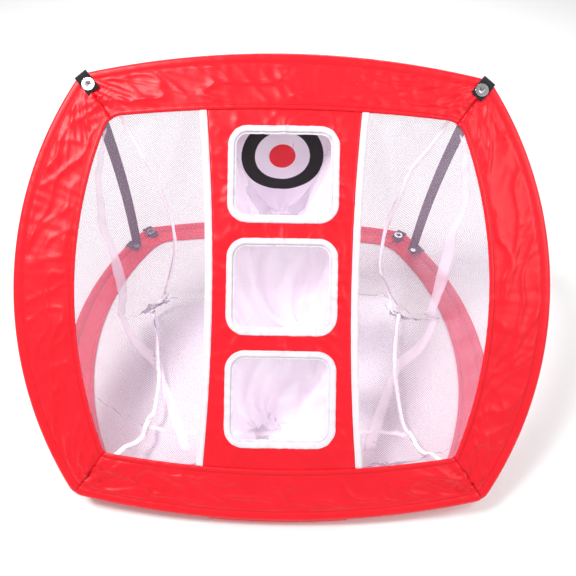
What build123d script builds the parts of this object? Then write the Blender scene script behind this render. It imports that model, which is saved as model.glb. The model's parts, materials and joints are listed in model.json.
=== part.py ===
from build123d import *
import math
import os

# Golf chipping net: two hemmed spring-wire loops hinged along one edge, with a net bag between them.
# Millimetres, +Z up, mouth towards -Y. The base loop lies on the ground and the front loop leans back over it.

# ---- driving dimensions ----
# outline of each loop, outside edge of the hem
corner_half_width = 248.0
side_bulge = 77.0
end_bulge = 29.0
near_corner_height = 29.0
loop_length = 566.0
corner_radius = 26.0

# wire and hem
wire_diameter = 3.0
tunnel_clearance = 1.5
fabric_thickness = 1.0
ferrule_length = 34.0
ferrule_wall = 0.7

# red bands
front_side_band = 74.0
front_top_band = 68.0
front_bottom_band = 62.0
front_inner_corner_inset = 36.0
front_inner_low_rise = 18.0
front_inner_high_drop = 12.0
front_inner_low_radius = 14.0
front_inner_high_radius = 42.0
base_band = 43.0
base_inner_radius = 62.0

# how the two loops meet
open_angle = 42.5
closed_gap = 1.3
hinge_setback = 4.5
hinge_tape_length = 168.0
hinge_tape_thickness = 1.2
hinge_tape_clearance = 0.35

# column and its windows
column_offset = 0.0
column_top_half_width = 97.0
column_waist_half_width = 84.0
column_bottom_half_width = 95.0
column_tape_width = 9.0
tape_thickness = 2.0
window_width = 135.0
window_height = 118.0
window_radius = 24.0
window_binding_width = 7.5
window_pitch = 136.0
middle_window_height = 283.0

# ball pockets
net_thickness = 0.8
pocket_side_margin = 3.0
middle_pocket_depth = 92.0
lower_pocket_depth = 76.0
upper_pocket_drop = 165.0

# target cloth
target_width = 132.0
target_length = 150.0
target_thickness = 0.8
target_seam_drop = 3.0
target_seam_clearance = 2.6
target_end_radius = 55.0

# net bag
bag_floor_lift = 1.6
bag_corner_height = 22.0
bag_edge_gap = 6.5
bag_sewing_width = 4.0
bag_top_overlap = 12.0
bag_toe_reach = 40.0
seam_width = 6.0
seam_thickness = 2.0

# webbing tabs, eyelets, straps
webbing_width = 17.0
webbing_thickness = 1.4
tab_length = 29.0
tab_clearance = 0.2
eyelet_hole_radius = 4.0
eyelet_wall = 0.8
eyelet_flange_radius = 8.0
eyelet_flange_thickness = 1.0
eyelet_to_hem = 1.0
tab_end_clearance = 3.0
tab_angle = 40.0
corner_rounding_depth = 4.0
strap_end_gap = 0.5
anchor_drop = 42.0
anchor_hole_setback = 17.0
rivet_radius = 2.5
rivet_head_radius = 4.5
rivet_head_thickness = 1.2

# ---- sizes that follow ----
wire_radius = wire_diameter / 2
tunnel_radius = wire_radius + tunnel_clearance
hem_radius = tunnel_radius + fabric_thickness
plate_bottom = tunnel_radius
hinge_height = 2 * hem_radius + closed_gap / 2
far_corner_height = loop_length - end_bulge
middle_height = (near_corner_height + far_corner_height) / 2
tilt = math.radians(open_angle)
closed_lift = hem_radius + closed_gap / 2


def turned(y, z):
    """A point of the closed front loop, about the hinge line, after opening."""
    return (y * math.cos(tilt) - z * math.sin(tilt), y * math.sin(tilt) + z * math.cos(tilt))


# the box of the whole net is centred on the origin along Y
front_hem_y = turned(hinge_setback, closed_lift)[0] - hem_radius
base_far_y = hinge_setback - hem_radius + loop_length
hinge_y = -(front_hem_y + base_far_y) / 2

base_place = Location((0, hinge_y + hinge_setback - hem_radius, hem_radius))
front_place = (
    Location((0, hinge_y, hinge_height), (open_angle, 0, 0))
    * Location((0, hinge_setback - hem_radius, closed_lift))
)


def front_point(u, v, n):
    """World position of a point given across, up and out from the front loop's middle plane."""
    return (front_place * Location((u, v, n))).position


def arc_outline(half_width, low, high, side_reach, end_low, end_high, low_radius, high_radius):
    """Four arcs through four corners, with the corners rounded."""
    middle = (low + high) / 2
    edges = [
        ThreePointArc((-half_width, low), (0, end_low), (half_width, low)),
        ThreePointArc((half_width, low), (side_reach, middle), (half_width, high)),
        ThreePointArc((half_width, high), (0, end_high), (-half_width, high)),
        ThreePointArc((-half_width, high), (-side_reach, middle), (-half_width, low)),
    ]
    outline = make_face(edges)
    low_corners = [corner for corner in outline.vertices() if abs(corner.Y - low) < 0.001]
    outline = fillet(low_corners, low_radius)
    high_corners = [corner for corner in outline.vertices() if abs(corner.Y - high) < 0.001]
    return fillet(high_corners, high_radius)


def inset_outline(outline, distance, **options):
    """An outline moved inwards, with each edge made a true arc again."""
    edges = offset(outline, -distance, **options).edges()
    return make_face([ThreePointArc(edge @ 0, edge @ 0.5, edge @ 1) for edge in edges])


def loop_outline():
    return arc_outline(
        corner_half_width,
        near_corner_height,
        far_corner_height,
        corner_half_width + side_bulge,
        0,
        loop_length,
        corner_radius,
        corner_radius,
    )


def front_opening():
    return arc_outline(
        corner_half_width - front_inner_corner_inset,
        front_bottom_band + front_inner_low_rise,
        loop_length - front_top_band - front_inner_high_drop,
        corner_half_width + side_bulge - front_side_band,
        front_bottom_band,
        loop_length - front_top_band,
        front_inner_low_radius,
        front_inner_high_radius,
    )


def base_opening():
    rounding = base_inner_radius
    sharp = inset_outline(loop_outline(), base_band + rounding, kind=Kind.INTERSECTION)
    return inset_outline(sharp, -rounding)


def hem_path():
    return inset_outline(loop_outline(), hem_radius).face().outer_wire()


def swept_tube(path, radius):
    start = Plane(origin=path @ 0, z_dir=path % 0)
    return sweep(start * Circle(radius), path=path)


def wire_loop():
    return swept_tube(hem_path(), wire_radius)


def band_ring(opening, plate_side):
    """Hem tunnel and flat band in one ring; plate_side is +1 for a plate on top, -1 underneath."""
    path = hem_path()
    flat = inset_outline(loop_outline(), hem_radius) - opening
    low = plate_bottom if plate_side > 0 else -hem_radius
    plate = extrude(flat, fabric_thickness).moved(Location((0, 0, low)))
    return plate + swept_tube(path, hem_radius) - swept_tube(path, tunnel_radius)


def mitre_wedge(name, inner_inset):
    """The near or far share of the ring, cut through the corners of both outlines."""
    run = 2 * inner_inset
    rise = 1.45 * run
    end = near_corner_height if name == "near" else far_corner_height
    inwards = 1 if name == "near" else -1
    outline = Polyline(
        (-corner_half_width - run, end - inwards * rise),
        (-corner_half_width + run, end + inwards * rise),
        (corner_half_width - run, end + inwards * rise),
        (corner_half_width + run, end - inwards * rise),
        close=True,
    )
    return extrude(make_face(outline), 20).moved(Location((0, 0, -10)))


def panels(ring, inner_inset):
    """The four panels of a ring, mitred at the corners."""
    near = mitre_wedge("near", inner_inset)
    far = mitre_wedge("far", inner_inset)
    sides = ring - near - far
    by_x = sides.solids().sort_by(Axis.X)
    return {"near": ring & near, "far": ring & far, "left": by_x[0], "right": by_x[-1]}


def eyelet_centre(side):
    """Middle of a far-corner eyelet, just inside the rounded corner of the hem."""
    corner = Vector(side * corner_half_width, far_corner_height)
    angle = math.radians(tab_angle)
    inward = Vector(-side * math.sin(angle), -math.cos(angle))
    barrel_radius = eyelet_hole_radius + eyelet_wall
    return corner + inward * (corner_rounding_depth + 2 * hem_radius + eyelet_to_hem + barrel_radius)


def tab_frame(side):
    """A frame at the eyelet: X points out over the corner, Y along the webbing's width."""
    return Location(eyelet_centre(side), (0, 0, 90 - side * tab_angle))


def tab_ends():
    """Inner and outer ends of the space inside the folded webbing, from the eyelet."""
    outer = eyelet_hole_radius + eyelet_wall + eyelet_to_hem + 2 * hem_radius + tab_end_clearance
    return outer + webbing_thickness - tab_length, outer


def lower_leg_bottom():
    return eyelet_flange_thickness - hem_radius


def upper_leg_top():
    return hem_radius + tab_clearance + webbing_thickness


def block(x_low, x_high, width, z_low, z_high):
    middle = Pos((x_low + x_high) / 2, 0, (z_low + z_high) / 2)
    return middle * Box(x_high - x_low, width, z_high - z_low)


def webbing_tab(side):
    """Webbing folded over the hem at a corner, with a hole for the eyelet."""
    inner, outer = tab_ends()
    low = lower_leg_bottom()
    high = upper_leg_top()
    outside = block(inner, outer + webbing_thickness, webbing_width, low, high)
    inside_low = low + webbing_thickness
    inside_high = high - webbing_thickness
    inside = block(inner - 10, outer, webbing_width + 10, inside_low, inside_high)
    hole = Cylinder(eyelet_hole_radius + eyelet_wall, 40)
    return tab_frame(side) * (outside - inside - hole)


def tab_notch(side):
    """What the tab's lower leg and washer take out of the band and hem."""
    inner, outer = tab_ends()
    leg = block(
        inner,
        outer + webbing_thickness,
        webbing_width,
        -2 * hem_radius,
        lower_leg_bottom() + webbing_thickness,
    )
    barrel = Cylinder(eyelet_hole_radius + eyelet_wall, 40)
    return tab_frame(side) * (leg + barrel)


def eyelet(side):
    """Flanged barrel through the tab and the band."""
    top = upper_leg_top()
    barrel_radius = eyelet_hole_radius + eyelet_wall
    flange = Pos(0, 0, top + eyelet_flange_thickness / 2) * Cylinder(
        eyelet_flange_radius, eyelet_flange_thickness
    )
    flange = fillet(flange.edges().group_by(Axis.Z)[-1], eyelet_flange_thickness * 0.4)
    barrel = Pos(0, 0, (top - hem_radius) / 2) * Cylinder(barrel_radius, top + hem_radius)
    hole = Cylinder(eyelet_hole_radius, 40)
    return tab_frame(side) * (flange + barrel - hole)


def eyelet_washer(side):
    """Ring under the tab's lower leg, level with the underside of the hem."""
    washer = Pos(0, 0, eyelet_flange_thickness / 2 - hem_radius) * Cylinder(
        eyelet_flange_radius, eyelet_flange_thickness
    )
    return tab_frame(side) * (washer - Cylinder(eyelet_hole_radius + eyelet_wall, 40))


def ferrule():
    """Crimped tube over the butt joint of the wire, in the middle of the near hem."""
    near = hem_path().edges().sort_by(Axis.Y)[0]
    middle = near @ 0.5
    tube = Cylinder(wire_radius + ferrule_wall, ferrule_length, rotation=(0, 90, 0))
    return Pos(middle.X, middle.Y, 0) * tube - wire_loop()


# ---- the column ----
def column_outline(extra):
    """Hourglass between the top and bottom bands, widened by extra on each side."""
    top = loop_length - front_top_band / 2
    bottom = front_bottom_band / 2
    waist = middle_window_height
    x = column_offset
    edges = [
        Line((x - column_bottom_half_width - extra, bottom), (x + column_bottom_half_width + extra, bottom)),
        ThreePointArc(
            (x + column_bottom_half_width + extra, bottom),
            (x + column_waist_half_width + extra, waist),
            (x + column_top_half_width + extra, top),
        ),
        Line((x + column_top_half_width + extra, top), (x - column_top_half_width - extra, top)),
        ThreePointArc(
            (x - column_top_half_width - extra, top),
            (x - column_waist_half_width - extra, waist),
            (x - column_bottom_half_width - extra, bottom),
        ),
    ]
    return make_face(edges) & front_opening()


def window_heights():
    return {
        "upper": middle_window_height + window_pitch,
        "middle": middle_window_height,
        "lower": middle_window_height - window_pitch,
    }


def window_outline(height, inset):
    outline = RectangleRounded(
        window_width - 2 * inset, window_height - 2 * inset, window_radius - inset
    )
    return Pos(column_offset, height) * outline


def on_band(flat, thickness):
    """A flat piece level with the middle of the front band's cloth."""
    middle = plate_bottom + fabric_thickness / 2
    return extrude(flat, thickness).moved(Location((0, 0, middle - thickness / 2)))


def column_panel():
    flat = column_outline(0)
    for height in window_heights().values():
        flat = flat - window_outline(height, 0)
    return on_band(flat, fabric_thickness)


def column_tape(side):
    """White tape along one edge of the column."""
    strip = column_outline(column_tape_width) - column_outline(0)
    half = Pos(column_offset + side * 200, middle_height) * Rectangle(400, 2 * loop_length)
    return on_band(strip & half, tape_thickness)


def window_binding(height):
    flat = window_outline(height, 0) - window_outline(height, window_binding_width)
    return on_band(flat, tape_thickness)


# ---- ball pockets and target ----
def pocket_profile(name):
    """Side view of a pocket, up the face and out from it."""
    centre = window_heights()[name]
    half = window_height / 2
    bottom = centre - half - 5.0
    if name == "upper":
        top = loop_length - front_top_band + 1.0
        back = (top - math.sin(tilt) * upper_pocket_drop, -math.cos(tilt) * upper_pocket_drop)
        return [(top, 0), (bottom, 0), (bottom + 6.0, -math.cos(tilt) * upper_pocket_drop * 0.8), back]
    depth = middle_pocket_depth if name == "middle" else lower_pocket_depth
    top = centre + half + 3.0
    return [(top, 0), (bottom, 0), (bottom + 2.0, -depth * 0.72), (top - depth * 0.66, -depth)]


def pocket(name):
    """Net pouch behind a window, open at the face."""
    back_of_column = plate_bottom - (tape_thickness - fabric_thickness) / 2
    half_width = window_width / 2 + pocket_side_margin
    outline = make_face(Polyline(*pocket_profile(name), close=True))
    inner = offset(outline, -net_thickness, kind=Kind.INTERSECTION)
    side_view = Plane(origin=(column_offset, 0, back_of_column), x_dir=(0, 1, 0), z_dir=(1, 0, 0))
    solid = extrude(side_view * outline, half_width, both=True)
    hollow = extrude(side_view * inner, half_width - net_thickness, both=True)
    mouth = window_outline(window_heights()[name], -1.0)
    mouth_cut = extrude(mouth, 4).moved(Location((0, 0, back_of_column - 2)))
    return solid - hollow - mouth_cut


def target_axis_point():
    return front_point(column_offset, loop_length - front_top_band - target_seam_drop, plate_bottom)


def target_cloth():
    """Printed cloth hanging straight down from the top of the column."""
    seam = target_axis_point()
    length = target_length
    flat = Rectangle(target_width, length)
    low_corners = flat.vertices().group_by(Axis.Y)[0]
    flat = fillet(low_corners, target_end_radius)
    hanging = Plane(
        origin=(seam.X, seam.Y, seam.Z - target_seam_clearance - length / 2),
        x_dir=(1, 0, 0),
        z_dir=(0, -1, 0),
    )
    return extrude(hanging * flat, target_thickness / 2, both=True)


# ---- net bag ----
def bag_half_width():
    return corner_half_width - front_inner_corner_inset - bag_edge_gap


def bag_top():
    return front_point(0, loop_length - front_top_band + bag_top_overlap, plate_bottom - net_thickness)


def bag_front():
    return front_point(0, front_bottom_band + bag_sewing_width, plate_bottom - net_thickness)


def side_net(side):
    """Cone of net from the side of the opening to the back corner of the bag."""
    half_width = corner_half_width - front_inner_corner_inset
    low = front_bottom_band + front_inner_low_rise
    high = loop_length - front_top_band - front_inner_high_drop
    reach = corner_half_width + side_bulge - front_side_band + bag_sewing_width
    n = plate_bottom - 0.8
    rim = ThreePointArc(
        front_point(side * half_width, high - 3, n),
        front_point(side * reach, (low + high) / 2, n),
        front_point(side * half_width, low + 3, n),
    )
    back_y = bag_top().Y - 2
    back = Line(
        (side * bag_half_width(), back_y, bag_floor_lift + bag_corner_height),
        (side * bag_half_width(), back_y, bag_floor_lift + 2),
    )
    cone = Face.make_surface_from_curves(rim.edge(), back.edge())
    return Solid.extrude(cone, Vector(side * net_thickness, 0, 0))


def main_net():
    """Back and floor of the bag in one length, from the top band to the bottom band."""
    top = bag_top()
    front = bag_front()
    t = net_thickness
    low = bag_floor_lift
    toe_y = front.Y + bag_toe_reach
    outline = Polyline(
        (top.Y, top.Z),
        (top.Y, low),
        (toe_y, low),
        (front.Y, front.Z),
        (front.Y, front.Z - t * 1.6),
        (toe_y - t, low - t),
        (top.Y + t, low - t),
        (top.Y + t, top.Z),
        close=True,
    )
    side_view = Plane(origin=(0, 0, 0), x_dir=(0, 1, 0), z_dir=(1, 0, 0))
    return extrude(side_view * make_face(outline), bag_half_width() - seam_width - 0.5, both=True)


def seam_tape(side, start, end):
    """White tape along one edge of the main net."""
    x = side * (bag_half_width() - seam_width / 2 - 0.2)
    a = Vector(x, start[0], start[1])
    b = Vector(x, end[0], end[1])
    run = b - a
    frame = Plane(origin=(a + b) * 0.5, x_dir=(1, 0, 0), z_dir=run)
    return frame * Box(seam_width, seam_thickness, run.length)


def back_seam(side):
    top = bag_top()
    back_y = top.Y + net_thickness / 2
    return seam_tape(side, (back_y, top.Z - 4), (back_y, bag_floor_lift + 5))


def floor_seam(side):
    top = bag_top()
    front = bag_front()
    z = bag_floor_lift + 0.6
    return seam_tape(side, (top.Y - 5, z), (front.Y + bag_toe_reach + 4, z))


# ---- straps and hinge ----
def anchor_frame(side):
    """Place on the base hem where a strap is sewn round it: X points outwards across the hem."""
    path = hem_path()
    edges = path.edges()
    side_edge = edges.sort_by(Axis.X)[-1] if side > 0 else edges.sort_by(Axis.X)[0]
    ends = sorted([side_edge @ 0, side_edge @ 1], key=lambda point: point.Y)
    share = anchor_drop / side_edge.length
    at = 1 - share if (side_edge @ 1).Y > (side_edge @ 0).Y else share
    place = side_edge @ at
    tangent = side_edge % at
    outward = Vector(tangent.Y, -tangent.X)
    if outward.X * side < 0:
        outward = outward * -1
    turn = math.degrees(math.atan2(outward.Y, outward.X))
    return Location((place.X, place.Y, 0), (0, 0, turn))


def strap_anchor(side):
    """Webbing folded over the base hem, with a hole for its rivet."""
    top = upper_leg_top()
    outer = hem_radius + 0.4
    outside = block(outer + webbing_thickness - tab_length, outer + webbing_thickness, webbing_width, 0, top)
    inside = block(-2 * tab_length, outer, webbing_width + 4, -1, top - webbing_thickness)
    hole = Pos(-anchor_hole_setback, 0, 0) * Cylinder(rivet_radius, 40)
    return anchor_frame(side) * (outside - inside - hole)


def strap_rivet(side):
    top = upper_leg_top()
    low = fabric_thickness - hem_radius
    head = Pos(0, 0, top + rivet_head_thickness / 2) * Cylinder(rivet_head_radius, rivet_head_thickness)
    stem = Pos(0, 0, (top + low) / 2) * Cylinder(rivet_radius, top - low)
    return anchor_frame(side) * Pos(-anchor_hole_setback, 0, 0) * (head + stem)


def side_strap(side):
    """Flat webbing from under a front tab to the strap anchor on the base hem."""
    eyelet_at = eyelet_centre(side)
    top = front_point(eyelet_at.X, eyelet_at.Y, -hem_radius - strap_end_gap - 3)
    anchor = base_place * anchor_frame(side) * Location((-anchor_hole_setback, 0, 0))
    lift = upper_leg_top() + rivet_head_thickness + strap_end_gap + 4
    bottom = anchor.position + Vector(0, 0, lift)
    run = bottom - top
    frame = Plane(origin=(top + bottom) * 0.5, x_dir=(1, 0, 0), z_dir=run)
    return frame * Box(webbing_width, webbing_thickness, run.length)


def hinge_tape():
    """Folded tape sewn to both near hems, with its crease on the hinge line."""
    reach = hem_radius + hinge_tape_clearance
    base_hem = Vector(hinge_setback, -closed_lift)
    front_hem = Vector(*turned(hinge_setback, closed_lift))
    base_end = base_hem + Vector(-reach, 0) - Vector(hinge_tape_thickness / 2, 0)
    front_end = front_hem + Vector(-reach, 0) - Vector(hinge_tape_thickness / 2, 0)
    crease = Vector(min(base_end.X, front_end.X) + 1.2, 0)
    centre_line = Polyline((base_end.X, base_end.Y), (crease.X, crease.Y), (front_end.X, front_end.Y))
    outline = offset(centre_line, hinge_tape_thickness / 2, side=Side.BOTH)
    side_view = Plane(origin=(0, hinge_y, hinge_height), x_dir=(0, 1, 0), z_dir=(1, 0, 0))
    return extrude(side_view * make_face(outline), hinge_tape_length / 2, both=True)


def both(make):
    return [make(-1), make(1)]


def notches():
    return both(tab_notch)


nodes = {}

# base frame, lying on the ground
base_ring = band_ring(base_opening(), -1) - notches()
for name, panel in panels(base_ring, base_band).items():
    nodes[f"base_{name}_panel"] = base_place * panel
nodes["base_wire"] = base_place * wire_loop()
nodes["base_wire_ferrule"] = base_place * ferrule()
nodes["base_left_tab"] = base_place * webbing_tab(-1)
nodes["base_right_tab"] = base_place * webbing_tab(1)
nodes["base_eyelets"] = base_place * Compound(children=both(eyelet))
nodes["base_eyelet_washers"] = base_place * Compound(children=both(eyelet_washer))
nodes["left_strap_anchor"] = base_place * strap_anchor(-1)
nodes["right_strap_anchor"] = base_place * strap_anchor(1)
nodes["strap_rivets"] = base_place * Compound(children=both(strap_rivet))
nodes["hinge_tape"] = hinge_tape()

# front frame, leaning back
front_ring = band_ring(front_opening(), 1) - notches()
front_names = {"near": "bottom", "far": "top", "left": "left", "right": "right"}
for name, panel in panels(front_ring, front_inner_corner_inset).items():
    nodes[f"front_{front_names[name]}_panel"] = front_place * panel
nodes["front_wire"] = front_place * wire_loop()
nodes["front_wire_ferrule"] = front_place * ferrule()
nodes["front_left_tab"] = front_place * webbing_tab(-1)
nodes["front_right_tab"] = front_place * webbing_tab(1)
nodes["front_eyelets"] = front_place * Compound(children=both(eyelet))
nodes["front_eyelet_washers"] = front_place * Compound(children=both(eyelet_washer))
nodes["column_panel"] = front_place * column_panel()
nodes["column_left_tape"] = front_place * column_tape(-1)
nodes["column_right_tape"] = front_place * column_tape(1)
for name, height in window_heights().items():
    nodes[f"{name}_window_binding"] = front_place * window_binding(height)
    nodes[f"{name}_pocket"] = front_place * pocket(name)

# net bag, straps and target
for name, side in (("left", -1), ("right", 1)):
    nodes[f"{name}_side_net"] = side_net(side)
    nodes[f"{name}_back_seam"] = back_seam(side)
    nodes[f"{name}_floor_seam"] = floor_seam(side)
    nodes[f"{name}_side_strap"] = side_strap(side)
nodes["main_net"] = main_net()
nodes["target_cloth"] = target_cloth()

os.makedirs("parts", exist_ok=True)
for name, shape in nodes.items():
    export_step(shape, f"parts/{name}.step")

target_seam = target_axis_point()
print("hinge line y, z:", round(hinge_y, 3), round(hinge_height, 3))
print("target seam y, z:", round(target_seam.Y, 3), round(target_seam.Z, 3))
for place, label in ((base_place, "base"), (front_place, "front")):
    for side in (-1, 1):
        spot = (place * Location(eyelet_centre(side))).position
        print(label, "eyelet:", round(spot.X, 3), round(spot.Y, 3), round(spot.Z, 3))
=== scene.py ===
# %% [markdown]
# # A pop-up golf chipping net
# Two hoops of spring wire, each in a red polyester hem, open like a clam shell. A white net bag hangs
# between them and a red column with three windows runs down the front. This lesson builds the cloth, the
# net, the webbing and the stitches around a frame that already holds every real size.

# %% Load the frame
import bpy
import bmesh
import json
import math
import numpy as np
from contextlib import contextmanager
from mathutils import Matrix, Vector, noise


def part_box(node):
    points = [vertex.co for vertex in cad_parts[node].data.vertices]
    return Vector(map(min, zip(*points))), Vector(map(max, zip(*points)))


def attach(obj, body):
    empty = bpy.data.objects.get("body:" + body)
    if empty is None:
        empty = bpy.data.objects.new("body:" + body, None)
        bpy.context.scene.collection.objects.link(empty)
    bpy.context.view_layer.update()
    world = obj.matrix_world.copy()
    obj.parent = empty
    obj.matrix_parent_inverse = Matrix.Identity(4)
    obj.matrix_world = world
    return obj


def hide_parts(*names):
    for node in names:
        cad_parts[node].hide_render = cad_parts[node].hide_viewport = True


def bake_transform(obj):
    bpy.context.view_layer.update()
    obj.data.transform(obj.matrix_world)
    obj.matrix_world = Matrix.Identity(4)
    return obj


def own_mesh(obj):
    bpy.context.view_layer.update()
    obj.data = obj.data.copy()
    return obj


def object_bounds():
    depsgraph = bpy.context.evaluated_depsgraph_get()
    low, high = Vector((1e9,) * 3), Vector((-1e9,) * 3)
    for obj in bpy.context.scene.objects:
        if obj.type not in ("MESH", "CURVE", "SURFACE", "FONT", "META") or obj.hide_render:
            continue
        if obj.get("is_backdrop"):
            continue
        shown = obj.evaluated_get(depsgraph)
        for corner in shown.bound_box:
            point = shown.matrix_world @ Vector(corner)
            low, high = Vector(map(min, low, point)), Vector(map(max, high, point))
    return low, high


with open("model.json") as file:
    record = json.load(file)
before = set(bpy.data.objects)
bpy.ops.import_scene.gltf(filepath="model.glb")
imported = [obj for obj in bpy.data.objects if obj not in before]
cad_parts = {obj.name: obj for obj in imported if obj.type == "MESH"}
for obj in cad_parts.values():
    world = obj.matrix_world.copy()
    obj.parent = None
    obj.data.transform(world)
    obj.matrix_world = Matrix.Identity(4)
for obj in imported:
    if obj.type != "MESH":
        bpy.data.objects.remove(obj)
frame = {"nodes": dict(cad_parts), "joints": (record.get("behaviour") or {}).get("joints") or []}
cad_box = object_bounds()
scene = bpy.context.scene

# %% [markdown]
# ## The sizes that everything shares
# The hinge line and the fold come from the frame's joints. The loops' outline is four arcs through four
# corners, so a handful of numbers gives every edge of the cloth. All values are in metres.

# %% Sizes
joints = {joint["name"]: joint for joint in frame["joints"]}
hinge = Vector(joints["frame_fold"]["pos_m"])
open_angle = math.radians(42.5)
corner_half_width = 0.248
side_bulge = 0.077
end_bulge = 0.029
loop_length = 0.566
far_corner = loop_length - end_bulge
hem_radius = 0.004
hinge_setback = 0.0045
closed_lift = hem_radius + 0.00065
hem_width = 0.0115
column_offset = 0.0
window_pitch = 0.136
window_middle = 0.283
window_size = (0.135, 0.118)
window_corner = 0.024
window_overlap = 0.0035
binding_width = 0.0075
front_opening = dict(
    half=0.212, low=0.080, high=0.486, reach=0.251, bottom=0.062, top=0.498,
    low_radius=0.014, high_radius=0.042,
)
base_opening = dict(
    half=0.216, low=0.062, high=0.504, reach=0.282, bottom=0.043, top=0.523,
    low_radius=0.060, high_radius=0.060,
)
print("hinge line at", tuple(round(value, 4) for value in hinge))

# %% [markdown]
# ## Two working planes
# Cloth is easiest to cut flat. Each loop has its own flat coordinates: u across, v up from the hinge and n
# out of the cloth. One function lays a flat point on the ground, and the other leans it back with the front.

# %% Flat to real
hem_line = hinge_setback - hem_radius


def base_place(u, v, n):
    """A flat point of the base loop, as it lies on the ground."""
    return Vector((u, hinge.y + hem_line + v, hem_radius + n))


def front_place(u, v, n):
    """A flat point of the front loop, leaning back about the hinge line."""
    y = hem_line + v
    z = closed_lift + n
    turned_y = y * math.cos(open_angle) - z * math.sin(open_angle)
    turned_z = y * math.sin(open_angle) + z * math.cos(open_angle)
    return Vector((u, hinge.y + turned_y, hinge.z + turned_z))


face_out = (front_place(0, 0.3, 0.1) - front_place(0, 0.3, 0)).normalized()
print("the front faces", tuple(round(value, 3) for value in face_out))

# %% [markdown]
# ## Outlines from arcs
# An arc through three points is a circle, so three numbers describe a long curved edge better than dozens of
# points would. Each corner is then eased with a short curve, and the outline is split in the middle of it,
# which is where the real cloth is mitred.

# %% Arcs and outlines
def arc(start, middle, end, count=160):
    """Points along the circle through three flat points."""
    (ax, ay), (bx, by), (cx, cy) = start, middle, end
    d = 2 * (ax * (by - cy) + bx * (cy - ay) + cx * (ay - by))
    a2, b2, c2 = ax * ax + ay * ay, bx * bx + by * by, cx * cx + cy * cy
    x = (a2 * (by - cy) + b2 * (cy - ay) + c2 * (ay - by)) / d
    y = (a2 * (cx - bx) + b2 * (ax - cx) + c2 * (bx - ax)) / d
    first = math.atan2(ay - y, ax - x)
    swing = math.atan2(cy - y, cx - x) - first
    swing = (swing + math.pi) % (2 * math.pi) - math.pi
    radius = math.hypot(ax - x, ay - y)
    angles = first + swing * np.linspace(0, 1, count)
    return np.column_stack((x + radius * np.cos(angles), y + radius * np.sin(angles)))


def lengths(points):
    steps = np.linalg.norm(np.diff(points, axis=0), axis=1)
    return np.concatenate(([0], np.cumsum(steps)))


def at_lengths(points, want):
    """The points of a line at the wanted distances along it."""
    along = lengths(points)
    return np.column_stack([np.interp(want, along, points[:, axis]) for axis in range(points.shape[1])])


def resample(points, count):
    """The same line with evenly spaced points."""
    return at_lengths(points, np.linspace(0, lengths(points)[-1], count))


def trimmed(points, first, last):
    """The line without its first and last stretch."""
    return at_lengths(points, np.linspace(first, lengths(points)[-1] - last, len(points)))


corner_turn = math.radians(43)


def four_sides(half, low, high, reach, bottom, top, low_radius, high_radius):
    """The near, right, far and left edges of an outline, meeting in the middle of its eased corners."""
    middle = (low + high) / 2
    sharp = [
        arc((-half, low), (0, bottom), (half, low)),
        arc((half, low), (reach, middle), (half, high)),
        arc((half, high), (0, top), (-half, high)),
        arc((-half, high), (-reach, middle), (-half, low)),
    ]
    low_ease, high_ease = (radius * math.tan(corner_turn / 2) for radius in (low_radius, high_radius))
    starts = (low_ease, low_ease, high_ease, high_ease)
    ends = (low_ease, high_ease, high_ease, low_ease)
    cut = [trimmed(side, first, last) for side, first, last in zip(sharp, starts, ends)]
    halves = []
    for index in range(4):
        before, after = cut[index][-1], cut[(index + 1) % 4][0]
        corner = sharp[index][-1]
        t = np.linspace(0, 1, 21)[:, None]
        bend = (1 - t) ** 2 * before + 2 * t * (1 - t) * corner + t**2 * after
        halves.append((bend[:11], bend[10:]))
    names = ("near", "right", "far", "left")
    return {
        name: np.vstack((halves[index - 1][1][:-1], cut[index], halves[index][0][1:]))
        for index, name in enumerate(names)
    }


outer_sides = four_sides(
    corner_half_width, end_bulge, far_corner, corner_half_width + side_bulge, 0, loop_length, 0.026, 0.026
)
front_inner = four_sides(**front_opening)
base_inner = four_sides(**base_opening)
print("hem length of one loop: %.3f m" % sum(lengths(side)[-1] for side in outer_sides.values()))

# %% [markdown]
# ## Cloth as a grid
# Every cloth piece starts as a grid of points: rows along the piece and columns across it. The grid carries
# a UV map in metres, so that a weave drawn on it keeps its true scale wherever the cloth bends.

# %% Grid helper
def running_length(points):
    """How far along a line of real points each one is."""
    points = [Vector(point) for point in points]
    along = [0.0]
    for a, b in zip(points, points[1:]):
        along.append(along[-1] + (b - a).length)
    return along


def grid_mesh(name, points, uv=None, loop_rows=False, loop_columns=False):
    """A mesh from points[row][column], with UVs in metres."""
    rows, columns = len(points), len(points[0])
    mesh = bpy.data.meshes.new(name)
    vertices = [tuple(point) for row in points for point in row]
    faces = []
    for i in range(rows if loop_rows else rows - 1):
        for j in range(columns if loop_columns else columns - 1):
            k, m = (i + 1) % rows, (j + 1) % columns
            faces.append((i * columns + j, i * columns + m, k * columns + m, k * columns + j))
    mesh.from_pydata(vertices, [], faces)
    layer = mesh.uv_layers.new(name="cloth")
    if uv is None:
        along = running_length(row[0] for row in points)
        across = running_length(points[rows // 2])
        uv = [[(x, y) for x in across] for y in along]
    flat = [uv[i][j] for i in range(rows) for j in range(columns)]
    for loop in mesh.loops:
        layer.data[loop.index].uv = flat[loop.vertex_index]
    mesh.polygons.foreach_set("use_smooth", [True] * len(mesh.polygons))
    thing = bpy.data.objects.new(name, mesh)
    scene.collection.objects.link(thing)
    return thing


@contextmanager
def editing(thing):
    """The mesh of a thing, open for changes, which are kept at the end."""
    work = bmesh.new()
    work.from_mesh(thing.data)
    yield work
    work.to_mesh(thing.data)
    work.free()


def apply_modifiers(thing):
    """Keeps the shape that the modifiers give, and removes them."""
    evaluated = thing.evaluated_get(bpy.context.evaluated_depsgraph_get())
    mesh = bpy.data.meshes.new_from_object(evaluated)
    thing.modifiers.clear()
    thing.data = mesh


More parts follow.
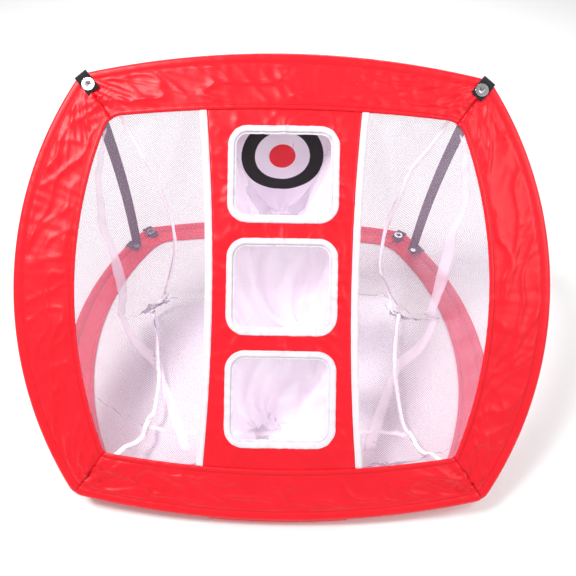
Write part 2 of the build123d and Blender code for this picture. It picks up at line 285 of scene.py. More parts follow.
def finish_mesh(thing, thickness=0.0):
    """Applies a wall thickness and any other modifier, and turns all faces outwards."""
    if thickness:
        wall = thing.modifiers.new("wall", "SOLIDIFY")
        wall.thickness = thickness
        wall.offset = 0
    bpy.context.view_layer.update()
    apply_modifiers(thing)
    with editing(thing) as work:
        bmesh.ops.recalc_face_normals(work, faces=work.faces)


def close_ends(thing):
    """Fills the two open ends of a tube."""
    with editing(thing) as work:
        bmesh.ops.holes_fill(work, edges=work.edges, sides=0)


def ruffle(x, y, seed):
    """Smooth noise between about -1 and 1."""
    return 1.6 * noise.noise(Vector((x, y, seed)))


print("helpers ready")

# %% [markdown]
# ## Satin polyester
# The red cloth is a plain weave of shiny filament yarn, so it is bright where the light grazes it. The weave
# is far finer than a wrinkle: two crossed waves in a bump are enough. The weave is a group, because the red
# cloth, the tapes and the webbing all use it with their own thread size.

# %% Shader groups
def new_group(name, inputs, outputs):
    tree = bpy.data.node_groups.new(name, "ShaderNodeTree")
    for socket_name, kind, value in inputs:
        socket = tree.interface.new_socket(name=socket_name, in_out="INPUT", socket_type=kind)
        if value is not None:
            socket.default_value = value
    for socket_name, kind in outputs:
        tree.interface.new_socket(name=socket_name, in_out="OUTPUT", socket_type=kind)
    return tree, tree.nodes.new("NodeGroupInput"), tree.nodes.new("NodeGroupOutput")


def math_node(tree, operation, first, second=None, clamp=False):
    node = tree.nodes.new("ShaderNodeMath")
    node.operation = operation
    node.use_clamp = clamp
    for index, value in enumerate((first, second)):
        if value is None:
            continue
        if isinstance(value, (int, float)):
            node.inputs[index].default_value = value
        else:
            tree.links.new(value, node.inputs[index])
    return node.outputs[0]


def thread_waves(tree, vector, pitch):
    """Two waves, along and across the cloth, each from -1 to 1."""
    split = tree.nodes.new("ShaderNodeSeparateXYZ")
    tree.links.new(vector, split.inputs[0])
    turns = math_node(tree, "DIVIDE", 2 * math.pi, pitch)
    return [math_node(tree, "SINE", math_node(tree, "MULTIPLY", split.outputs[i], turns)) for i in (0, 1)]


def build_weave():
    tree, given, result = new_group(
        "woven threads",
        [("Vector", "NodeSocketVector", None), ("Thread pitch", "NodeSocketFloat", 0.0006)],
        [("Height", "NodeSocketFloat"), ("Shade", "NodeSocketFloat")],
    )
    across, along = thread_waves(tree, given.outputs["Vector"], given.outputs["Thread pitch"])
    crossed = math_node(tree, "MULTIPLY", across, along)
    height = math_node(tree, "MULTIPLY_ADD", crossed, 0.5)
    height.node.inputs[2].default_value = 0.5
    cloud = tree.nodes.new("ShaderNodeTexNoise")
    cloud.inputs["Scale"].default_value = 22
    cloud.inputs["Detail"].default_value = 4
    tree.links.new(given.outputs["Vector"], cloud.inputs["Vector"])
    tree.links.new(height, result.inputs["Height"])
    tree.links.new(cloud.outputs["Fac"], result.inputs["Shade"])
    return tree


def build_mesh_holes():
    """A knitted mesh: slanted threads that cross, with an open cell between them."""
    tree, given, result = new_group(
        "knitted mesh",
        [
            ("Vector", "NodeSocketVector", None),
            ("Cell", "NodeSocketFloat", 0.0024),
            ("Thread share", "NodeSocketFloat", 0.5),
            ("Hole veil", "NodeSocketFloat", 0.2),
            ("Thread cover", "NodeSocketFloat", 0.6),
        ],
        [("Cover", "NodeSocketFloat")],
    )
    turn = tree.nodes.new("ShaderNodeVectorRotate")
    turn.rotation_type = "Z_AXIS"
    turn.inputs["Angle"].default_value = math.radians(45)
    tree.links.new(given.outputs["Vector"], turn.inputs["Vector"])
    across, along = thread_waves(tree, turn.outputs[0], given.outputs["Cell"])
    widest = math_node(tree, "MAXIMUM", across, along)
    edge = math_node(tree, "SUBTRACT", 1.0, math_node(tree, "MULTIPLY", given.outputs["Thread share"], 2.0))
    thread = math_node(tree, "MULTIPLY", math_node(tree, "SUBTRACT", widest, edge), 3.0, clamp=True)
    veil = given.outputs["Hole veil"]
    open_part = math_node(tree, "SUBTRACT", given.outputs["Thread cover"], veil)
    cover = math_node(tree, "ADD", math_node(tree, "MULTIPLY", thread, open_part), veil, clamp=True)
    tree.links.new(cover, result.inputs["Cover"])
    return tree


weave_group = build_weave()
mesh_group = build_mesh_holes()
print("shader groups:", weave_group.name, "and", mesh_group.name)

# %% [markdown]
# ## Materials from a few helpers
# Each cloth is one Principled shader with a weave, a slow change of shade and a bump. A helper builds that
# once, so a material is a line with two colours, a roughness and a thread size. Net has its holes in the
# alpha instead, since cutting thousands of real holes would make the mesh far too heavy.

# %% Material helpers
def srgb(red, green, blue):
    """A colour as the eye names it, from 0 to 255, turned to linear light."""
    def linear(value):
        value = value / 255
        return value / 12.92 if value <= 0.04045 else ((value + 0.055) / 1.055) ** 2.4
    return (linear(red), linear(green), linear(blue), 1.0)


def new_material(name, roughness, metallic=0.0):
    material = bpy.data.materials.new(name)
    material.use_nodes = True
    shader = material.node_tree.nodes["Principled BSDF"]
    shader.inputs["Roughness"].default_value = roughness
    shader.inputs["Metallic"].default_value = metallic
    return material, material.node_tree, shader


def coordinates(tree, from_uv=True):
    if from_uv:
        node = tree.nodes.new("ShaderNodeUVMap")
        node.uv_map = "cloth"
        return node.outputs["UV"]
    return tree.nodes.new("ShaderNodeTexCoord").outputs["Object"]


def shade_mix(tree, factor, dark, light):
    mix = tree.nodes.new("ShaderNodeMix")
    mix.data_type = "RGBA"
    mix.inputs["A"].default_value = dark
    mix.inputs["B"].default_value = light
    tree.links.new(factor, mix.inputs["Factor"])
    return mix.outputs["Result"]


def add_bump(tree, shader, height, strength, distance):
    bump = tree.nodes.new("ShaderNodeBump")
    bump.inputs["Strength"].default_value = strength
    bump.inputs["Distance"].default_value = distance
    tree.links.new(height, bump.inputs["Height"])
    tree.links.new(bump.outputs["Normal"], shader.inputs["Normal"])


def woven_material(name, dark, light, roughness, pitch, bump, gloss=0.3, from_uv=True):
    """Cloth with a weave of its own pitch and a slow change of shade."""
    material, tree, shader = new_material(name, roughness)
    weave = tree.nodes.new("ShaderNodeGroup")
    weave.node_tree = weave_group
    weave.inputs["Thread pitch"].default_value = pitch
    tree.links.new(coordinates(tree, from_uv), weave.inputs["Vector"])
    tree.links.new(shade_mix(tree, weave.outputs["Shade"], dark, light), shader.inputs["Base Color"])
    add_bump(tree, shader, weave.outputs["Height"], bump, pitch * 0.3)
    shader.inputs["Specular IOR Level"].default_value = gloss
    return material


def net_material(name, colour, cell, thread_share, veil, thread_cover, painted_glow=0.04):
    """White knitted mesh. Light passes through its cells, and a little emission paints a glow on its thin
    threads, for the light that would shine through them.
    """
    material, tree, shader = new_material(name, 0.75)
    shader.inputs["Base Color"].default_value = colour
    shader.inputs["Specular IOR Level"].default_value = 0.15
    # The emission is a painted glow, not a lamp: it brightens the net's threads.
    shader.inputs["Emission Color"].default_value = colour
    shader.inputs["Emission Strength"].default_value = painted_glow
    mesh = tree.nodes.new("ShaderNodeGroup")
    mesh.node_tree = mesh_group
    mesh.inputs["Cell"].default_value = cell
    mesh.inputs["Thread share"].default_value = thread_share
    mesh.inputs["Hole veil"].default_value = veil
    mesh.inputs["Thread cover"].default_value = thread_cover
    tree.links.new(coordinates(tree), mesh.inputs["Vector"])
    tree.links.new(mesh.outputs["Cover"], shader.inputs["Alpha"])
    add_bump(tree, shader, mesh.outputs["Cover"], 0.3, 0.0003)
    return material


red_front = woven_material("red satin, front", srgb(232, 14, 32), srgb(246, 26, 44), 0.33, 0.0007, 0.2, 0.36)
red_base = woven_material("red satin, base", srgb(226, 16, 30), srgb(240, 26, 42), 0.40, 0.0007, 0.2, 0.35)
white_tape = woven_material("white binding tape", srgb(236, 228, 238), srgb(250, 244, 250), 0.7, 0.0010, 0.5)
white_elastic = woven_material("white elastic", srgb(238, 230, 240), srgb(252, 247, 252), 0.65, 0.0012, 0.7)
webbing = woven_material("black webbing", srgb(20, 20, 23), srgb(44, 44, 50), 0.55, 0.0017, 1.0)
# The bag net's lavender grey is partly the net's own tint and partly painted shade: the nets cast no shadows
# here, so their colour is darker in place of that shade.
bag_net = net_material("bag net", srgb(200, 182, 204), 0.0021, 0.38, 0.13, 0.36)
pocket_net = net_material("pocket net", srgb(250, 240, 252), 0.0013, 0.45, 0.34, 0.56, 0.12)
folded_net = net_material("folded net", srgb(252, 240, 250), 0.0016, 0.45, 0.30, 0.50)
white_thread = woven_material(
    "white thread", srgb(232, 224, 232), srgb(250, 246, 250), 0.6, 0.0004, 0.4, from_uv=False
)
red_thread = woven_material(
    "red thread", srgb(205, 14, 30), srgb(236, 24, 42), 0.5, 0.0004, 0.4, from_uv=False
)
print(len(bpy.data.materials), "materials so far")

# %% [markdown]
# ## Metal trim
# The eyelets and rivets are nickel plated and lightly scuffed, and the spring wire is plain drawn steel. The
# frame already holds their shape, so they only need a finish. Fine noise breaks up the reflections.

# %% Metal
def metal_material(name, colour, roughness, grain):
    material, tree, shader = new_material(name, roughness, metallic=1.0)
    shader.inputs["Base Color"].default_value = colour
    texture = tree.nodes.new("ShaderNodeTexNoise")
    texture.inputs["Scale"].default_value = grain
    texture.inputs["Detail"].default_value = 6
    tree.links.new(coordinates(tree, from_uv=False), texture.inputs["Vector"])
    spread = tree.nodes.new("ShaderNodeMapRange")
    spread.inputs["To Min"].default_value = roughness * 0.7
    spread.inputs["To Max"].default_value = roughness * 1.5
    tree.links.new(texture.outputs["Fac"], spread.inputs["Value"])
    tree.links.new(spread.outputs["Result"], shader.inputs["Roughness"])
    add_bump(tree, shader, texture.outputs["Fac"], 0.15, 0.0001)
    return material


nickel = metal_material("nickel plate", srgb(168, 168, 172), 0.2, 900)
spring_steel = metal_material("spring steel", srgb(150, 150, 154), 0.35, 1500)
crimped_steel = metal_material("crimped steel", srgb(168, 168, 172), 0.4, 700)


def refinish(node, material):
    thing = frame["nodes"][node]
    thing.data.materials.clear()
    thing.data.materials.append(material)


for node in ("front_eyelets", "front_eyelet_washers", "base_eyelets", "base_eyelet_washers", "strap_rivets"):
    refinish(node, nickel)
for loop in ("front", "base"):
    refinish(f"{loop}_wire", spring_steel)
    refinish(f"{loop}_wire_ferrule", crimped_steel)
print("metal refinished")

# %% [markdown]
# ## The hemmed bands
# Each loop has four bands, mitred at the corners. The outer edge of a band turns back over the wire and is
# sewn down, so it reads as a soft round roll with a row of stitches inside it. A band is swept here as one
# profile: under the roll, round the wire, over the stitches and across to the folded inner edge. The cloth
# gathers where it is sewn, which is what makes the small puckers beside the roll.

# %% Band cross-section
def band_profile(width, columns=26):
    """Distance from the outer edge and height over the loop's middle plane, across one band."""
    roll = [
        (hem_width + 0.0015, 0.0018),
        (hem_width - 0.001, 0.0006),
        (0.0085, -0.0014),
        (0.0062, -0.0030),
        (0.0040, -0.0036),
        (0.0020, -0.0030),
        (0.0006, -0.0015),
        (0.0002, 0.0004),
        (0.0010, 0.0024),
        (0.0028, 0.0035),
        (0.0050, 0.0038),
        (0.0078, 0.0035),
        (0.0100, 0.0030),
        (hem_width, 0.0022),
        (hem_width + 0.0012, 0.0027),
    ]
    inner = width - 0.0065
    flat = [(d, 0.0031) for d in np.linspace(hem_width + 0.003, inner - 0.0008, columns)]
    fold = [
        (inner, 0.0029),
        (inner + 0.0009, 0.0036),
        (width - 0.0022, 0.0038),
        (width - 0.0006, 0.0033),
        (width, 0.0026),
        (width - 0.0012, 0.0021),
        (inner + 0.001, 0.0021),
    ]
    return roll + flat + fold


def band_height(distance, width, along, total, seed):
    """How far the cloth of a band stands off its flat place: puckers, long wrinkles and corner folds."""
    past_hem = max(0.0, distance - hem_width)
    before_fold = max(0.0, width - 0.0065 - distance)
    cloth = min(1.0, past_hem / 0.006) * min(1.0, before_fold / 0.010)
    pucker = ruffle(along / 0.0085, distance / 0.03, seed) * math.exp(-past_hem / 0.014)
    roll_pucker = ruffle(along / 0.010, 3.0, seed) * 0.00035 if distance > 0.004 else 0.0
    to_corner = min(along, total - along)
    near_corner = math.exp(-to_corner / 0.09)
    slow = ruffle(along / 0.090 + distance / 0.06, distance / 0.045 - along / 0.2, seed + 7)
    bend = 0.006 * ruffle(along / 0.05, distance / 0.05, seed + 31)
    crease = 1 - abs(ruffle(along / 0.085 + bend, (distance + bend) / 0.022 + along / 0.10, seed + 13))
    cross = 1 - abs(ruffle(along / 0.040 + distance / 0.045, (distance + bend) / 0.060, seed + 17))
    fan = 1 - abs(ruffle(6 * math.atan2(distance, to_corner + 0.012), to_corner / 0.12, seed + 23))
    folds = 0.0022 * (max(0.0, crease) ** 6 - 0.15) + 0.0014 * (max(0.0, cross) ** 7 - 0.12)
    lift = 0.0007 * pucker + 0.0013 * slow + folds + 0.0032 * near_corner * (max(0.0, fan) ** 4 - 0.25)
    seam = -0.0010 * math.exp(-((to_corner / 0.0022) ** 2))
    return cloth * lift + roll_pucker + seam


eyelet_inset = 0.0178
tab_angle = math.radians(40)


def eyelet_spot(side):
    """The flat place of an eyelet, inwards from a far corner."""
    return Vector((
        side * (corner_half_width - eyelet_inset * math.sin(tab_angle)),
        far_corner - eyelet_inset * math.cos(tab_angle),
    ))


def punch(thing, place, radius=0.0062):
    """Leaves out the cloth under the two eyelets of a loop, where it was punched through."""
    up = (place(0, 0, 1) - place(0, 0, 0)).normalized()
    doomed = set()
    with editing(thing) as work:
        for side in (-1, 1):
            spot = eyelet_spot(side)
            centre = place(spot.x, spot.y, 0)
            for face in work.faces:
                away = face.calc_center_median() - centre
                if (away - up * away.dot(up)).length < radius:
                    doomed.add(face)
        bmesh.ops.delete(work, geom=list(doomed), context="FACES")


def band(name, outer, inner, place, side_up, seed):
    """One band of a loop. side_up is 1 where the cloth lies over the wire and -1 where it lies under."""
    count = int(lengths(outer)[-1] / 0.0032)
    outer = resample(outer, count)
    inner = resample(inner, count)
    along = lengths(outer)
    rows = []
    for index in range(count):
        start, end = outer[index], inner[index]
        width = float(np.linalg.norm(end - start))
        way = (end - start) / width
        row = []
        for distance, height in band_profile(width):
            spot = start + way * distance
            puff = band_height(distance, width, along[index], along[-1], seed)
            top = side_up * height + puff
            top = max(top, -hem_radius + 0.0004)
            row.append(place(spot[0], spot[1], top))
        rows.append(row)
    uv = [[(along[i], d) for d, _ in band_profile(0.07)] for i in range(count)]
    thing = grid_mesh(name, rows, uv)
    punch(thing, place)
    finish_mesh(thing, thickness=0.0007)
    return thing


print("band profile has", len(band_profile(0.07)), "points")

# %% [markdown]
# ## Eight bands from one helper
# The real hems are eight strips that meet in mitred corners. They could be modelled one by one, but they
# differ only in their two edges, so one helper sweeps them all. Each band stands for the plain panel that
# the frame holds in its place, and has a seed of its own, so that no two wrinkle alike.

# %% Sew the eight bands
bands = {}
front_seed, base_seed, seed_step = 3.1, 41.7, 5
front_names = {"near": "bottom", "right": "right", "far": "top", "left": "left"}
for index, (side, front_name) in enumerate(front_names.items()):
    outer = outer_sides[side]
    name = f"front_{front_name}_band"
    bands[name] = band(name, outer, front_inner[side], front_place, 1, front_seed + index * seed_step)
    bands[name].data.materials.append(red_front)
    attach(bands[name], "front_frame")
    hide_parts(f"front_{front_name}_panel")
    name = f"base_{side}_band"
    bands[name] = band(name, outer, base_inner[side], base_place, -1, base_seed + index * seed_step)
    bands[name].data.materials.append(red_base)
    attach(bands[name], "base_frame")
    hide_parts(f"base_{side}_panel")
print(len(bands), "bands,", sum(len(thing.data.polygons) for thing in bands.values()), "faces")

# %% [markdown]
# ## The column
# The middle column is one length of red cloth, narrowest at its waist, pulled tight between the top and
# bottom bands. A fine grid lets it wrinkle. Cells inside the windows are left out, and the rough edge that
# this leaves is covered by the white elastic, just as the real raw edge is.

# %% Column cloth
column_half = {"bottom": 0.095, "waist": 0.084, "top": 0.097}
column_low, column_high = 0.0625, 0.4975


def column_edge(v, extra=0.0):
    """Half the column's width at a height."""
    right = arc(
        (column_half["bottom"], column_low - 0.03),
        (column_half["waist"], window_middle),
        (column_half["top"], column_high + 0.03),
        90,
    )
    return float(np.interp(v, right[:, 1], right[:, 0])) + extra


window_heights = {
    "upper": window_middle + window_pitch,
    "middle": window_middle,
    "lower": window_middle - window_pitch,
}


def outside_round_box(u, v, width, height, radius):
    """Distance outside a rounded rectangle; negative inside it."""
    x = abs(u) - width / 2 + radius
    y = abs(v) - height / 2 + radius
    return math.hypot(max(x, 0), max(y, 0)) + min(max(x, y), 0) - radius


def opening_end(u, top):
    """Height of the front opening's top or bottom edge at a distance from the middle."""
    share = (u / front_opening["half"]) ** 2
    if top:
        return front_opening["top"] - (front_opening["top"] - front_opening["high"]) * share
    return front_opening["bottom"] + (front_opening["low"] - front_opening["bottom"]) * share


def tuck(u, v):
    """0 in the open, and up to 1 where the column passes under the top or bottom band."""
    inside = min(opening_end(u, True) - v, v - opening_end(u, False))
    return min(1.0, max(0.0, 1 - (inside + 0.0005) / 0.004))


def column_height(u, v):
    """Satin wrinkles that run out of the window corners and down the column."""
    lift = 0.0012 * ruffle(u / 0.05, v / 0.09, 61.0)
    bend = 0.004 * ruffle(u / 0.03, v / 0.03, 73.0)
    lift += 0.0008 * ruffle(u / 0.012 + v / 0.05, v / 0.05, 67.0)
    fold = 1 - abs(ruffle((u + bend) / 0.030 + v / 0.06, (v + bend) / 0.028, 69.0))
    lift += 0.0013 * (max(0.0, fold) ** 6 - 0.15)
    for height in window_heights.values():
        gap = outside_round_box(u - column_offset, v - height, *window_size, window_corner)
        angle = math.atan2(v - height, u - column_offset)
        lift += 0.0014 * math.exp(-max(gap, 0) / 0.012) * ruffle(angle * 10, gap / 0.02, 71.0)
    under = tuck(u, v)
    return (1 - under) * max(lift, -0.0004) - 0.0010 * under


def build_column():
    rows, uv = [], []
    across = np.linspace(-1, 1, 66)
    for v in np.linspace(column_low - 0.004, column_high + 0.003, 150):
        half = column_edge(v)
        rows.append([
            front_place(column_offset + x * half, v, 0.0027 + column_height(column_offset + x * half, v))
            for x in across
        ])
        uv.append([(x * half, v) for x in across])
    thing = grid_mesh("column_cloth", rows, uv)
    doomed = []
    with editing(thing) as work:
        layer = work.loops.layers.uv["cloth"]
        for face in work.faces:
            u = sum(loop[layer].uv.x for loop in face.loops) / 4
            v = sum(loop[layer].uv.y for loop in face.loops) / 4
            inside = [
                outside_round_box(u, v - height, *window_size, window_corner) < -window_overlap
                for height in window_heights.values()
            ]
            if any(inside):
                doomed.append(face)
        bmesh.ops.delete(work, geom=doomed, context="FACES")
    finish_mesh(thing, thickness=0.0006)
    thing.data.materials.append(red_front)
    return thing


column = build_column()
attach(column, "front_frame")
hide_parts("column_panel")
print("column faces:", len(column.data.polygons))

# %% [markdown]
# ## Tape and elastic
# White tape is folded over each long edge of the column, and white elastic is folded over each window's
# edge. Both are the same idea: a flattened tube that follows a line. The elastic is sewn under tension, so
# it ripples a little as it goes round.

# %% Folded edging
def edging(name, line, width, thickness, closed, seed, ripple, material, centre_n=0.0028):
    """A flattened, closed tube along a flat line, lying in the front's plane."""
    count = len(line)
    section = [(math.cos(a), math.sin(a)) for a in np.linspace(0, 2 * math.pi, 14, endpoint=False)]
    along = lengths(np.vstack((line, line[:1])))
    rows = []
    for index in range(count):
        after = line[(index + 1) % count] if closed or index < count - 1 else line[index]
        before = line[index - 1] if closed or index > 0 else line[index]
        way = after - before
        way = way / np.linalg.norm(way)
        out = np.array((way[1], -way[0]))
        row = []
        for cosine, sine in section:
            reach = width / 2 * math.copysign(abs(cosine) ** 0.6, cosine)
            rise = thickness / 2 * math.copysign(abs(sine) ** 0.7, sine)
            wobble = ripple * ruffle(along[index] / 0.006, cosine * 0.6, seed)
            u, v = line[index] + out * (reach + wobble * 0.4)
            sunk = column_height(u, v) * (0.8 + 0.2 * tuck(u, v))
            row.append(front_place(u, v, centre_n + rise + wobble + sunk))
        rows.append(row)
    thing = grid_mesh(name, rows, loop_rows=closed, loop_columns=True)
    if not closed:
        close_ends(thing)
    finish_mesh(thing)
    thing.data.materials.append(material)
    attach(thing, "front_frame")
    return thing


def window_line(name, inset, count=190):
    """The rounded rectangle of a window, moved inwards."""
    width, height = window_size[0] - 2 * inset, window_size[1] - 2 * inset
    radius = window_corner - inset
    points = []
    for cx, cy, start in ((1, -1, -90), (1, 1, 0), (-1, 1, 90), (-1, -1, 180)):
        for step in np.linspace(0, 90, 12):
            angle = math.radians(start + step)
            points.append((
                cx * (width / 2 - radius) + radius * math.cos(angle) + column_offset,
                cy * (height / 2 - radius) + radius * math.sin(angle) + window_heights[name],
            ))
    points.append(points[0])
    return resample(np.array(points), count + 1)[:-1]


for index, name in enumerate(window_heights):
    line = window_line(name, binding_width / 2)
    edging(
        f"{name}_window_elastic", line, binding_width, 0.0026, True, 81.0 + index, 0.00035, white_elastic
    )
    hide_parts(f"{name}_window_binding")
    inner_line = window_line(name, binding_width + 0.0010)
    edging(f"{name}_pocket_hem", inner_line, 0.0034, 0.0014, True, 86.0 + index, 0.0003, white_tape, 0.0010)

for name, side in (("left", -1), ("right", 1)):
    reach = column_edge(column_high, 0.0045)
    heights = np.linspace(opening_end(reach, False) - 0.0008, opening_end(reach, True) + 0.0008, 170)
    line = np.array([(column_offset + side * column_edge(v, 0.0045), v) for v in heights])
    edging(
        f"column_{name}_edge", line, 0.009, 0.0024, False, 91.0 + side, 0.0003, white_tape
    )
    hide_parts(f"column_{name}_tape")

# %% [markdown]
# ## Stitches with Geometry Nodes
# A row of stitches is one small thread shape repeated along a line at a fixed pitch. Geometry Nodes does this
# well: it resamples the line, turns each stitch along it and fills in the material. The pitch and thread size
# are inputs, so one tree sews every seam.

# %% Stitch tree
def build_stitch_tree():
    tree = bpy.data.node_groups.new("stitch row", "GeometryNodeTree")
    face = tree.interface
    face.new_socket(name="Geometry", in_out="INPUT", socket_type="NodeSocketGeometry")
    face.new_socket(name="Pitch", in_out="INPUT", socket_type="NodeSocketFloat").default_value = 0.0032
    face.new_socket(name="Length", in_out="INPUT", socket_type="NodeSocketFloat").default_value = 0.0024
    face.new_socket(name="Thickness", in_out="INPUT", socket_type="NodeSocketFloat").default_value = 0.00045
    face.new_socket(name="Thread", in_out="INPUT", socket_type="NodeSocketMaterial")
    face.new_socket(name="Geometry", in_out="OUTPUT", socket_type="NodeSocketGeometry")
    add, join = tree.nodes.new, tree.links.new
    given, result = add("NodeGroupInput"), add("NodeGroupOutput")
    curve = add("GeometryNodeMeshToCurve")
    spaced = add("GeometryNodeResampleCurve")
    spaced.mode = "LENGTH"
    join(given.outputs["Geometry"], curve.inputs["Mesh"])
    join(curve.outputs["Curve"], spaced.inputs["Curve"])
    join(given.outputs["Pitch"], spaced.inputs["Length"])
    tangent = add("GeometryNodeInputTangent")
    turn = add("FunctionNodeAlignRotationToVector")
    turn.axis = "Z"
    join(tangent.outputs[0], turn.inputs["Vector"])
    thread = add("GeometryNodeMeshUVSphere")
    thread.inputs["Segments"].default_value = 6
    thread.inputs["Rings"].default_value = 4
    thread.inputs["Radius"].default_value = 1.0
    size = add("ShaderNodeCombineXYZ")
    half = add("ShaderNodeMath")
    half.operation = "MULTIPLY"
    half.inputs[1].default_value = 0.5
    join(given.outputs["Length"], half.inputs[0])
    join(given.outputs["Thickness"], size.inputs["X"])
    join(given.outputs["Thickness"], size.inputs["Y"])
    join(half.outputs[0], size.inputs["Z"])
    place = add("GeometryNodeInstanceOnPoints")
    join(spaced.outputs["Curve"], place.inputs["Points"])
    join(thread.outputs["Mesh"], place.inputs["Instance"])
    join(turn.outputs["Rotation"], place.inputs["Rotation"])
    join(size.outputs["Vector"], place.inputs["Scale"])
    real = add("GeometryNodeRealizeInstances")
    paint = add("GeometryNodeSetMaterial")
    join(place.outputs["Instances"], real.inputs["Geometry"])
    join(real.outputs["Geometry"], paint.inputs["Geometry"])
    join(given.outputs["Thread"], paint.inputs["Material"])
    join(paint.outputs["Geometry"], result.inputs["Geometry"])
    return tree


stitch_tree = build_stitch_tree()


def sew(name, lines, material, body, pitch=0.0032, length=0.0024, thickness=0.00045):
    """Stitches along several lines of real points, as one mesh."""
    mesh = bpy.data.meshes.new(name)
    points, edges = [], []
    for line in lines:
        start = len(points)
        points += [tuple(point) for point in line]
        edges += [(start + i, start + i + 1) for i in range(len(line) - 1)]
    mesh.from_pydata(points, edges, [])
    thing = bpy.data.objects.new(name, mesh)
    scene.collection.objects.link(thing)
    modifier = thing.modifiers.new("stitches", "NODES")
    modifier.node_group = stitch_tree
    values = {"Pitch": pitch, "Length": length, "Thickness": thickness, "Thread": material}
    for item in stitch_tree.interface.items_tree:
        if item.in_out == "INPUT" and item.name in values:
            modifier[item.identifier] = values[item.name]
    bpy.context.view_layer.update()
    apply_modifiers(thing)
    sewn = thing.data
    sewn.materials.clear()
    sewn.materials.append(material)
    sewn.polygons.foreach_set("material_index", [0] * len(sewn.polygons))
    sewn.polygons.foreach_set("use_smooth", [True] * len(sewn.polygons))
    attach(thing, body)
    return thing


print("stitch tree:", stitch_tree.name)

# %% [markdown]
# ## Where the seams run
# A hem has one row of stitches beside the wire and another along its folded inner edge. The column is sewn
# along both tapes and round each window. A seam could be projected on the cloth, but reading its height from
# the same function as the cloth keeps it on the surface exactly.

# %% Sew the bands and the column
stitch_lift = 0.0006
fold_seam = 0.0055


def band_seam(outer, inner, place, side_up, seed, distance_of):
    """A line along a band at a chosen distance from its outer edge, on the cloth's surface."""
    count = int(lengths(outer)[-1] / 0.003)
    outer, inner = resample(outer, count), resample(inner, count)
    along = lengths(outer)
    line = []
    for index in range(count):
        width = float(np.linalg.norm(inner[index] - outer[index]))
        distance = distance_of(width)
        spot = outer[index] + (inner[index] - outer[index]) / width * distance
        profile = sorted(point for point in band_profile(width)[9:-3])
        base = float(np.interp(distance, [p[0] for p in profile], [p[1] for p in profile]))
        puff = band_height(distance, width, along[index], along[-1], seed)
        line.append(place(spot[0], spot[1], side_up * base + puff + stitch_lift))
    return line


front_hem_lines, front_fold_lines, base_fold_lines = [], [], []
for index, side in enumerate(front_names):
    outer, inner = outer_sides[side], front_inner[side]
    seed = front_seed + index * seed_step
    front_hem_lines.append(band_seam(outer, inner, front_place, 1, seed, lambda width: hem_width))
    front_fold_lines.append(band_seam(outer, inner, front_place, 1, seed, lambda width: width - fold_seam))
    seed = base_seed + index * seed_step
    inner = base_inner[side]
    base_fold_lines.append(band_seam(outer, inner, base_place, -1, seed, lambda width: width - fold_seam))
sew("front_hem_stitches", front_hem_lines, red_thread, "front_frame")
sew("front_fold_stitches", front_fold_lines, red_thread, "front_frame")
sew("base_fold_stitches", base_fold_lines, red_thread, "base_frame")

column_lines = []
for side in (-1, 1):
    for extra in (0.0018, 0.0072):
        reach = column_edge(column_high, extra)
        heights = np.linspace(opening_end(reach, False) + 0.002, opening_end(reach, True) - 0.002, 150)
        flat = [(column_offset + side * column_edge(v, extra), v) for v in heights]
        column_lines.append([front_place(u, v, 0.0041 + 0.8 * column_height(u, v)) for u, v in flat])
for name in window_heights:
    line = window_line(name, 0.0014)
    line = np.vstack((line, line[:1]))
    column_lines.append([front_place(u, v, 0.0042 + 0.8 * column_height(u, v)) for u, v in line])
sew("column_stitches", column_lines, white_thread, "front_frame", pitch=0.0028, length=0.0021)
print("stitches sewn")

# %% [markdown]
# ## Webbing
# The corner tabs, the straps and their anchors are the same ribbed black webbing. A tab is folded over the
# hem at a corner and an eyelet goes through both layers. Each is a ribbon that follows a bent line, with its
# ribs in the material and its eyelet hole cut right through.

# %% Webbing ribbon
def ribbon(name, line, side_way, width, thickness, material, body, columns=9):
    """A flat band of webbing along real points; side_way is the direction of its width."""
    side_way = Vector(side_way).normalized()
    across = np.linspace(-0.5, 0.5, columns)
    rows = [[Vector(point) + side_way * width * x for x in across] for point in line]
    uv = [[(width * x, along) for x in across] for along in running_length(line)]
    thing = grid_mesh(name, rows, uv)
    finish_mesh(thing, thickness=thickness)
    bevel = thing.modifiers.new("soft edge", "BEVEL")
    bevel.width = thickness * 0.3
    bevel.segments = 2
    bevel.limit_method = "ANGLE"
    bevel.angle_limit = math.radians(60)
    finish_mesh(thing)
    thing.data.materials.append(material)
    if body:
        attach(thing, body)
    return thing


def cut_hole(thing, centre, way, radius):
    """Cuts a round hole through a piece."""
    bpy.ops.mesh.primitive_cylinder_add(vertices=40, radius=radius, depth=0.05)
    cutter = bpy.context.object
    turn = Vector((0, 0, 1)).rotation_difference(Vector(way))
    cutter.data.transform(Matrix.Translation(centre) @ turn.to_matrix().to_4x4())
    cutter.matrix_world = Matrix.Identity(4)
    knife = thing.modifiers.new("hole", "BOOLEAN")
    knife.object = cutter
    knife.solver = "EXACT"
    finish_mesh(thing)
    bpy.data.objects.remove(cutter)


def smooth_line(points, count):
    """A soft curve through a few real points."""
    line = resample(np.array([tuple(point) for point in points]), count)
    for _ in range(max(2, count // 14)):
        line[1:-1] = (line[:-2] + 2 * line[1:-1] + line[2:]) / 4
    return [Vector(point) for point in line]


def tab_points(place, centre, angle, low, high, inner, outer):
    """The bent line of a tab, from its upper inner end round the hem to its lower inner end."""
    way = Vector((math.cos(angle), math.sin(angle)))
    section = [
        (inner, high),
        (inner * 0.3, high + 0.0001),
        (outer - 0.004, high),
        (outer + 0.0004, high * 0.75),
        (outer + 0.0011, (high + low) / 2),
        (outer + 0.0004, low * 0.8),
        (outer - 0.004, low),
        (inner * 0.3, low),
        (inner, low),
    ]
    return [place(centre.x + way.x * d, centre.y + way.y * d, n) for d, n in section]


